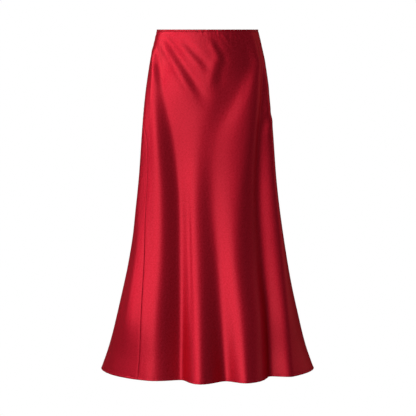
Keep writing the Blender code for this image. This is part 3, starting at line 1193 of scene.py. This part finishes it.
@dataclass
class SeamAllowances:
    """The pressed-open edges of the side seams, four narrow strips on the inside."""

    name: str
    form: SkirtForm
    width: float = 0.009
    cloth: float = 0.0005
    clearance: float = 0.0012
    curl: float = 0.0006
    wander: float = 0.0006
    first_share: float = 0.0004
    first_drop: float = 0.006
    last_drop: float = 0.8415
    rows_count: int = 210
    across_count: int = 5
    sharp_angle: float = 50.0

    @staticmethod
    def places() -> tuple[tuple[int, int], ...]:
        """The four strips, each as its seam and its way from the seam."""
        return ((0, -1), (0, 1), (1, -1), (1, 1))

    def strip(self, column: int, way: int) -> tuple[np.ndarray, np.ndarray]:
        """One strip's points.

        Args:
            column: 0 for the left seam and 1 for the right.
            way: 1 for the strip towards larger angles, and -1 for the other.

        Returns:
            The points, as rows, columns and three coordinates, and their normals.
        """
        drops = np.linspace(self.first_drop, self.last_drop, self.rows_count)
        seams = self.form.seam_angles(drops)[:, column]
        girth = self.form.oval_radius(seams[:, None], self.form.ovals(drops))
        wander = self.wander * np.sin(drops * 95 + column * 2 + way)
        share = np.linspace(self.first_share, 1.0, self.across_count)
        reach = share * (self.width + wander[:, None])
        angle = seams[:, None] + way * np.degrees(reach / girth)
        outer = self.form.points(angle, drops)
        normal = self.form.normals(angle, drops)
        lift = self.clearance + self.curl * (reach / self.width) ** 2
        return outer - normal * lift[..., None], normal

    def build(self, material: bpy.types.Material) -> bpy.types.Object:
        """Builds the four strips as one mesh of closed thin walls.

        Args:
            material: their finish.

        Returns:
            The strips' object.
        """
        points: list[np.ndarray] = []
        faces: list[list[int]] = []
        for column, way in self.places():
            outer, normal = self.strip(column, way)
            if way < 0:
                outer, normal = outer[:, ::-1], normal[:, ::-1]
            inner = outer - normal * self.cloth
            ring = np.concatenate([outer, inner[:, ::-1]], axis=1)
            base = sum(len(part) for part in points)
            rows, around = ring.shape[:2]
            index = base + np.arange(rows * around).reshape(rows, around)
            after = np.roll(index, -1, axis=1)
            quads = np.stack([index[:-1], index[1:], after[1:], after[:-1]], axis=-1)
            faces += quads.reshape(-1, 4).tolist()
            faces.append(index[0].tolist())
            faces.append(index[-1][::-1].tolist())
            points.append(ring.reshape(-1, 3))
        mesh = smooth_mesh(self.name, np.concatenate(points), faces, material)
        mesh.set_sharp_from_angle(angle=math.radians(self.sharp_angle))
        place = np.concatenate(points)[corner_points(mesh)]
        lay_chart(mesh, np.stack([place[:, 0] + place[:, 1], place[:, 2]], axis=-1))
        return link_mesh(self.name, mesh)


@dataclass(frozen=True)
class StitchStyle:
    """A row's stitches, in metres.

    pitch is from one stitch to the next, wander is how far one may stray, and seed is that
    of the straying.
    """

    pitch: float
    length: float
    radius: float
    wander: float
    seed: int


HEM_STITCH = StitchStyle(pitch=0.0030, length=0.0023, radius=0.00022, wander=0.00006, seed=3)
CASING_STITCH = StitchStyle(pitch=0.0027, length=0.0020, radius=0.00022, wander=0.00005, seed=5)
OVERLOCK_STITCH = StitchStyle(pitch=0.0042, length=0.0040, radius=0.00025, wander=0.00008, seed=8)


@dataclass
class Stitching:
    """Rows of small stitches, made along lines by one geometry node tree."""

    form: SkirtForm
    hem_above: float = 0.0054
    hem_proud: float = -0.00002
    casing_level: float = -0.0021
    casing_proud: float = -0.00025
    overlock_proud: float = 0.0002
    hem_points: int = 1441
    casing_points: int = 721
    tree: bpy.types.NodeTree = field(init=False)

    def __post_init__(self) -> None:
        """Builds the tree once."""
        self.tree = self.stitch_tree()

    @staticmethod
    def stitch_tree() -> bpy.types.NodeTree:
        """Builds the tree that sets stitches end to end along a line.

        Returns:
            A tree with inputs Geometry, Pitch, Stitch Length, Thread Radius, Wander, Seed
            and Thread.
        """
        tree = bpy.data.node_groups.new("stitch_run", "GeometryNodeTree")
        face = tree.interface
        face.new_socket("Geometry", in_out="INPUT", socket_type="NodeSocketGeometry")
        for name in ("Pitch", "Stitch Length", "Thread Radius", "Wander"):
            face.new_socket(name, in_out="INPUT", socket_type="NodeSocketFloat")
        face.new_socket("Seed", in_out="INPUT", socket_type="NodeSocketInt")
        face.new_socket("Thread", in_out="INPUT", socket_type="NodeSocketMaterial")
        face.new_socket("Geometry", in_out="OUTPUT", socket_type="NodeSocketGeometry")
        given = add_node(tree, "NodeGroupInput")
        made = add_node(tree, "NodeGroupOutput")
        line = add_node(tree, "GeometryNodeMeshToCurve")
        spaced = add_node(tree, "GeometryNodeCurveToPoints", mode="LENGTH")
        wander = add_node(tree, "FunctionNodeRandomValue", data_type="FLOAT_VECTOR")
        negative = add_node(tree, "ShaderNodeMath", {1: -1.0}, operation="MULTIPLY")
        moved = add_node(tree, "GeometryNodeSetPosition")
        shape = {"Segments": 6, "Rings": 4, "Radius": 1.0}
        bead = add_node(tree, "GeometryNodeMeshUVSphere", shape)
        size = add_node(tree, "ShaderNodeCombineXYZ")
        half = add_node(tree, "ShaderNodeMath", {1: 0.5}, operation="MULTIPLY")
        shaped = add_node(tree, "GeometryNodeTransform")
        aim = add_node(tree, "FunctionNodeAlignRotationToVector", axis="X")
        placed = add_node(tree, "GeometryNodeInstanceOnPoints")
        real = add_node(tree, "GeometryNodeRealizeInstances")
        dyed = add_node(tree, "GeometryNodeSetMaterial")
        wire(
            tree,
            (given, "Geometry", line, "Mesh"),
            (line, "Curve", spaced, "Curve"),
            (given, "Pitch", spaced, "Length"),
            (given, "Wander", negative, 0),
            (negative, 0, wander, "Min"),
            (given, "Wander", wander, "Max"),
            (given, "Seed", wander, "Seed"),
            (spaced, "Points", moved, "Geometry"),
            (wander, "Value", moved, "Offset"),
            (given, "Stitch Length", half, 0),
            (half, 0, size, "X"),
            (given, "Thread Radius", size, "Y"),
            (given, "Thread Radius", size, "Z"),
            (bead, "Mesh", shaped, "Geometry"),
            (size, "Vector", shaped, "Scale"),
            (spaced, "Tangent", aim, "Vector"),
            (moved, "Geometry", placed, "Points"),
            (shaped, "Geometry", placed, "Instance"),
            (aim, "Rotation", placed, "Rotation"),
            (placed, "Instances", real, "Geometry"),
            (real, "Geometry", dyed, "Geometry"),
            (given, "Thread", dyed, "Material"),
            (dyed, "Geometry", made, "Geometry"),
        )
        return tree

    def run(
        self, name: str, lines: list[np.ndarray], thread: bpy.types.Material, style: StitchStyle
    ) -> bpy.types.Object:
        """Sets stitches along some lines.

        Args:
            name: the piece's name.
            lines: each line's points; a line whose ends meet is closed.
            thread: the thread's material.
            style: the stitches' sizes.

        Returns:
            The stitches as one plain mesh.
        """
        points: list[list[float]] = []
        edges: list[tuple[int, int]] = []
        for line in lines:
            base = len(points)
            points += line.tolist()
            edges += [(base + i, base + i + 1) for i in range(len(line) - 1)]
        guide = bpy.data.meshes.new(name + "_line")
        guide.from_pydata(points, edges, [])
        guide.update()
        holder = link_mesh(name + "_line", guide)
        modifier = holder.modifiers.new("stitches", "NODES")
        modifier.node_group = self.tree
        values = {
            "Pitch": style.pitch,
            "Stitch Length": style.length,
            "Thread Radius": style.radius,
            "Wander": style.wander,
            "Seed": style.seed,
            "Thread": thread,
        }
        for item in self.tree.interface.items_tree:
            if item.in_out == "INPUT" and item.name in values:
                modifier[item.identifier] = values[item.name]
        bpy.context.view_layer.update()
        graph = bpy.context.evaluated_depsgraph_get()
        mesh = bpy.data.meshes.new_from_object(holder.evaluated_get(graph))
        mesh.name = name
        mesh.shade_smooth()
        bpy.data.objects.remove(holder, do_unlink=True)
        bpy.data.meshes.remove(guide)
        return link_mesh(name, mesh)

    def hem_line(self) -> np.ndarray:
        """A line right round the skirt, a little above the hem.

        Returns:
            The line's points, the first and the last in one place.
        """
        angle = np.linspace(-180, 180, self.hem_points)[None, :]
        drops = np.array([HEM_DROP - self.hem_above])
        place = self.form.points(angle, drops)
        return (place + self.form.normals(angle, drops) * self.hem_proud)[0]

    def casing_line(self, casing: WaistCasing) -> np.ndarray:
        """A line right round the casing's face.

        Args:
            casing: the casing.

        Returns:
            The line's points, the first and the last in one place.
        """
        angle = np.linspace(-180, 180, self.casing_points)
        radius = self.form.waist_radius(angle) + casing.proud + self.casing_proud
        return round_points(radius, np.radians(angle), np.full_like(angle, self.casing_level))

    def overlock_lines(self, strips: SeamAllowances) -> list[np.ndarray]:
        """Zigzag lines along the free edges of the seam allowances, on the inside.

        Args:
            strips: the allowances.

        Returns:
            The points of four lines.
        """
        lines = []
        for column, way in strips.places():
            points, normal = strips.strip(column, way)
            edge, before = points[:, -1], points[:, -2]
            lift = normal[:, -1] * (strips.cloth + self.overlock_proud)
            zigzag = np.where((np.arange(len(edge)) % 2)[:, None] > 0, edge, before)
            lines.append(zigzag - lift)
        return lines


# ---------------------------------------------------------------------------
# The set
# ---------------------------------------------------------------------------


@dataclass(frozen=True)
class Lamp:
    """A soft rectangular light, placed round the skirt's middle."""

    name: str
    azimuth: float
    elevation: float
    distance: float
    size: tuple[float, float]
    power: float
    aim_level: float = -0.42
    spread: float = 180.0


@dataclass
class Studio:
    """The plain pale floor, the soft lights and the camera."""

    floor_level: float = -1.05
    floor_size: float = 14.0
    floor_colour: tuple[float, float, float] = (0.35, 0.34, 0.34)
    floor_roughness: float = 0.9
    floor_glow: float = 1.0
    camera_distance: float = 4.70
    camera_height: float = 0.003
    camera_aside: float = 0.00125
    metres_per_pixel: float = 0.0025
    frame_pixels: int = 416
    waist_row: float = 29.5
    sensor: float = 36.0
    far_clip: float = 60.0
    surround: float = 0.14
    lamps: tuple[Lamp, ...] = (
        Lamp("key", -32, 14, 4.0, (3.8, 3.6), 91.0),
        Lamp("kicker", -88, 24, 1.8, (1.3, 1.3), 5.0, aim_level=-0.10, spread=110),
        Lamp("low_kicker", -90, 24, 1.8, (1.2, 1.2), 0.6, aim_level=-0.95, spread=70),
        Lamp("side", 112, 8, 3.5, (2.6, 3.0), 9.0),
    )

    def build(self) -> None:
        """Builds the whole set."""
        self.build_floor()
        self.build_lamps()
        self.build_surround()
        self.build_camera()

    def build_floor(self) -> None:
        """A wide pale floor under the skirt."""
        half = self.floor_size / 2
        mesh = bpy.data.meshes.new("floor")
        corners = [(-half, -half), (half, -half), (half, half), (-half, half)]
        mesh.from_pydata([(x, y, self.floor_level) for x, y in corners], [], [(0, 1, 2, 3)])
        material, tree, shader = new_surface("pale_floor")
        finish = {"Base Color": opaque(self.floor_colour), "Roughness": self.floor_roughness}
        set_sockets(shader, finish)
        seen = add_node(tree, "ShaderNodeLightPath")
        glow = add_node(tree, "ShaderNodeEmission", {"Strength": self.floor_glow})
        mix = add_node(tree, "ShaderNodeMixShader")
        wire(
            tree,
            (seen, "Is Camera Ray", mix, 0),
            (shader, "BSDF", mix, 1),
            (glow, "Emission", mix, 2),
            (mix, "Shader", tree.nodes["Material Output"], "Surface"),
        )
        mesh.materials.append(material)
        link_mesh("floor", mesh)

    def build_lamps(self) -> None:
        """The soft lights, each aimed at a level on the skirt's axis."""
        for lamp in self.lamps:
            data = bpy.data.lights.new(lamp.name, "AREA")
            data.shape = "RECTANGLE"
            data.size, data.size_y = lamp.size
            data.energy = lamp.power
            data.spread = math.radians(lamp.spread)
            holder = bpy.data.objects.new(lamp.name, data)
            bpy.context.scene.collection.objects.link(holder)
            turn, rise = math.radians(lamp.azimuth), math.radians(lamp.elevation)
            away = Vector(
                (math.cos(rise) * math.sin(turn), -math.cos(rise) * math.cos(turn), math.sin(rise))
            )
            holder.location = Vector((0.0, 0.0, lamp.aim_level)) + away * lamp.distance
            holder.rotation_euler = (-away).to_track_quat("-Z", "Y").to_euler()

    def build_surround(self) -> None:
        """A dim grey surround that the camera sees as plain white."""
        world = bpy.data.worlds.new("surround")
        bpy.context.scene.world = world
        world.use_nodes = True
        tree = world.node_tree
        tree.nodes.clear()
        output = add_node(tree, "ShaderNodeOutputWorld")
        mix = add_node(tree, "ShaderNodeMixShader")
        seen = add_node(tree, "ShaderNodeLightPath")
        white = {"Color": (1.0, 1.0, 1.0, 1.0)}
        dim = add_node(tree, "ShaderNodeBackground", white | {"Strength": self.surround})
        bright = add_node(tree, "ShaderNodeBackground", white)
        wire(
            tree,
            (seen, "Is Camera Ray", mix, 0),
            (dim, "Background", mix, 1),
            (bright, "Background", mix, 2),
            (mix, "Shader", output, "Surface"),
        )
        bpy.context.scene.view_settings.view_transform = "Standard"

    def build_camera(self) -> None:
        """The camera, level with the waist and tipped down to take in the hem."""
        data = bpy.data.cameras.new("camera")
        holder = bpy.data.objects.new("camera", data)
        bpy.context.scene.collection.objects.link(holder)
        focal_pixels = self.camera_distance / self.metres_per_pixel
        data.sensor_width = self.sensor
        data.lens = focal_pixels * self.sensor / self.frame_pixels
        data.clip_end = self.far_clip
        pitch = math.atan((self.frame_pixels / 2 - self.waist_row) / focal_pixels)
        holder.location = (self.camera_aside, -self.camera_distance, self.camera_height)
        holder.rotation_euler = (math.pi / 2 - pitch, 0.0, 0.0)
        bpy.context.scene.camera = holder


# ---------------------------------------------------------------------------
# Assembly
# ---------------------------------------------------------------------------


@dataclass(frozen=True)
class PanelCut:
    """A panel's flat cut: the widths across it at the waist, hip, knee and hem."""

    widths: tuple[float, float, float, float]
    length: float
    levels: tuple[float, float, float, float] = (0.0, 0.23, 0.66, 1.0)

    @property
    def flat(self) -> tuple[float, float]:
        """The rectangle that the cut fits in."""
        return (max(self.widths), self.length)

    @property
    def area(self) -> float:
        """The cut's area.

        Returns:
            The area in square metres of the tapering bands from one level to the next.
        """
        means = [(above + below) / 2 for above, below in zip(self.widths, self.widths[1:])]
        shares = [end - start for start, end in zip(self.levels, self.levels[1:])]
        return self.length * sum(mean * share for mean, share in zip(means, shares))


@dataclass
class SlipSkirt:
    """The whole skirt, piece by piece."""

    form: SkirtForm = field(default_factory=SkirtForm)

    def build(self) -> None:
        """Builds every piece, joins it to the frame and reports it."""
        weave = bias_weave_group()
        face = SATIN_FACE.build(weave)
        reverse = SATIN_REVERSE.build(weave)
        casing_satin = SATIN_CASING.build(weave)
        thread = RED_THREAD.build()

        front = Panel("front_panel_satin", "front_panel", self.form, wraps_back=False)
        back = Panel("back_panel_satin", "back_panel", self.form, wraps_back=True)
        front_piece = front.build(face, reverse)
        back_piece = back.build(face, reverse)
        casing = WaistCasing("waist_casing_satin", self.form)
        casing_piece = casing.build(casing_satin)
        strips = SeamAllowances("seam_allowances", self.form)
        strip_piece = strips.build(reverse)

        stitching = Stitching(self.form)
        hem_stitches = stitching.run("hem_stitches", [stitching.hem_line()], thread, HEM_STITCH)
        casing_stitches = stitching.run(
            "casing_stitches", [stitching.casing_line(casing)], thread, CASING_STITCH
        )
        overlock = stitching.run(
            "overlock_stitches", stitching.overlock_lines(strips), thread, OVERLOCK_STITCH
        )

        for piece, node in (
            (front_piece, front.node),
            (back_piece, back.node),
            (casing_piece, "waist_casing"),
        ):
            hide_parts(node)
        made = (
            front_piece, back_piece, casing_piece, strip_piece,
            hem_stitches, casing_stitches, overlock,
        )
        for piece in made:
            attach(piece, BODY)
            log.info("%s: %d faces", piece.name, len(piece.data.polygons))


def main() -> None:
    """Builds the skirt and the set in order."""
    logging.basicConfig(level=logging.INFO, format="%(name)s: %(message)s")
    SlipSkirt().build()
    log.info("skirt built")
    Studio().build()
    log.info("set built")


if __name__ == "__main__":
    main()
